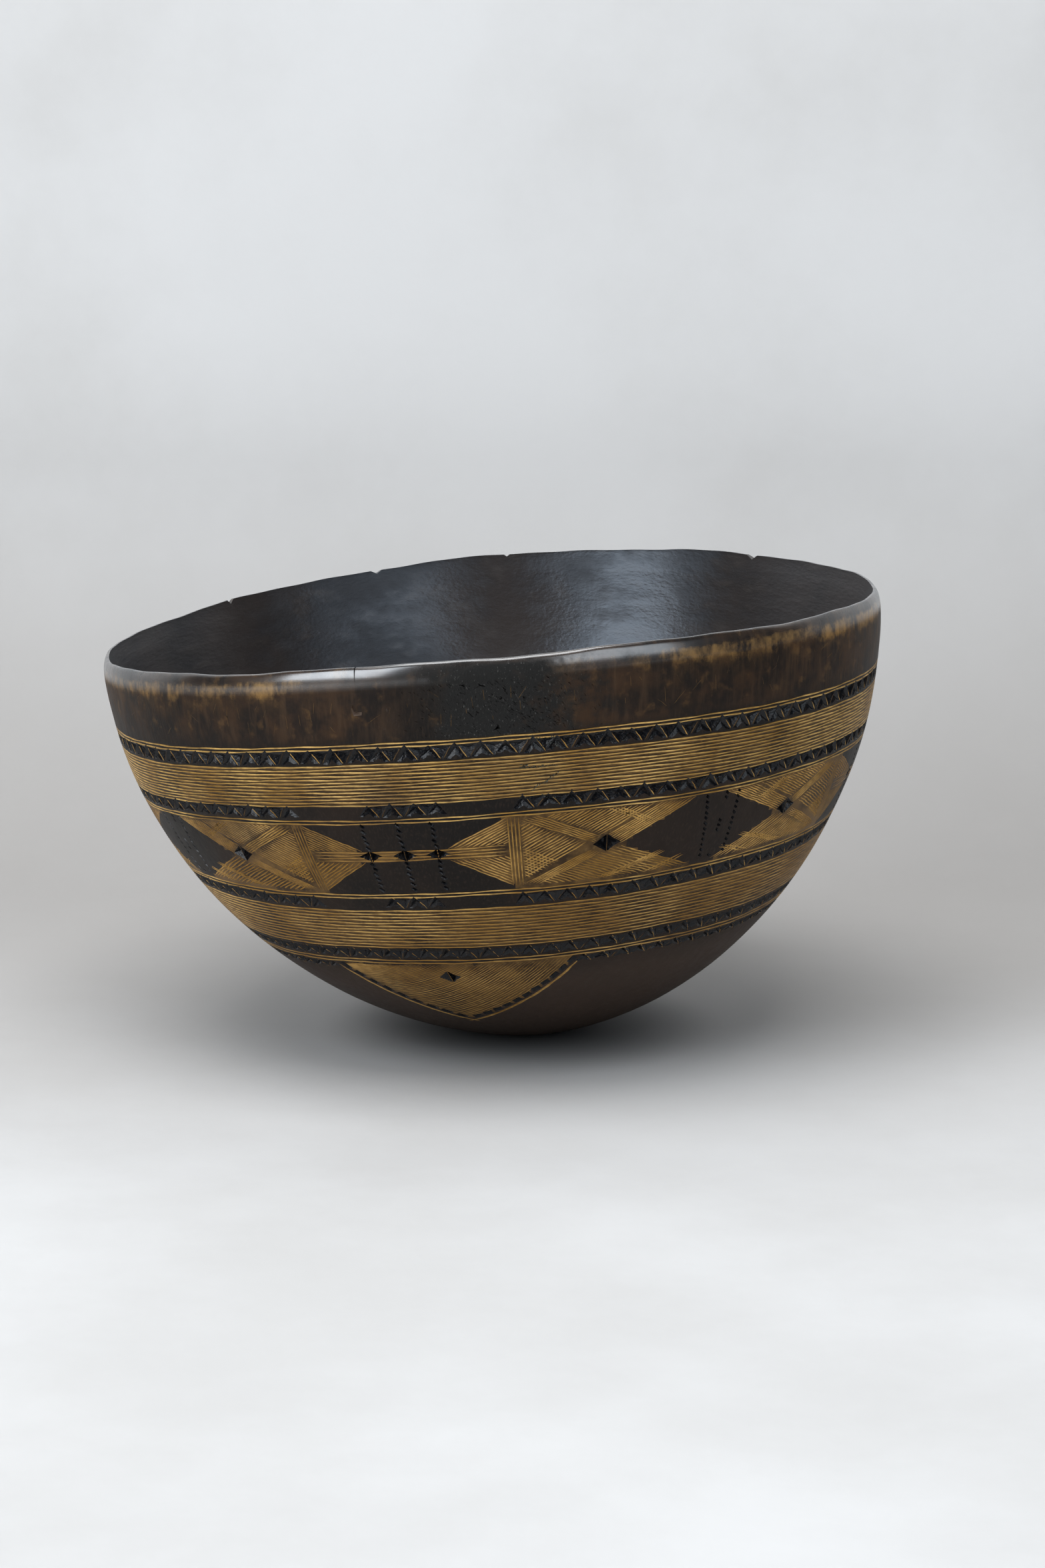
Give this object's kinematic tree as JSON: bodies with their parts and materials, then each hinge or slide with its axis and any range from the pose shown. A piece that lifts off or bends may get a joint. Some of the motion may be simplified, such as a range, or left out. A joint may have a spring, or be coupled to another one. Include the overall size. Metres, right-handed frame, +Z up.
{
  "type": "carved wooden bowl",
  "caption": "Deep round-bottomed wooden bowl carved from one block, its wall engraved with line bands, chip-carved zigzags and a hatched lozenge frieze, resting on a small worn flat.",
  "frame": {"origin": "centre of the worn flat under the bowl that it stands on", "axes": "+Z up; +X towards the high side of the leaning rim and -X towards its low side; -Y towards the front of the frieze; the rim's plane leans about 5 degrees down towards -X"},
  "size_m": [0.3609, 0.362, 0.2114],
  "materials": {
    "carved_wood": "hand-rubbed satin, darkened by oil and smoke, lighter wood showing in the engraved lines"
  },
  "bodies": {
    "root": {"bowl_body": "carved_wood"}
  },
  "joints": []
}
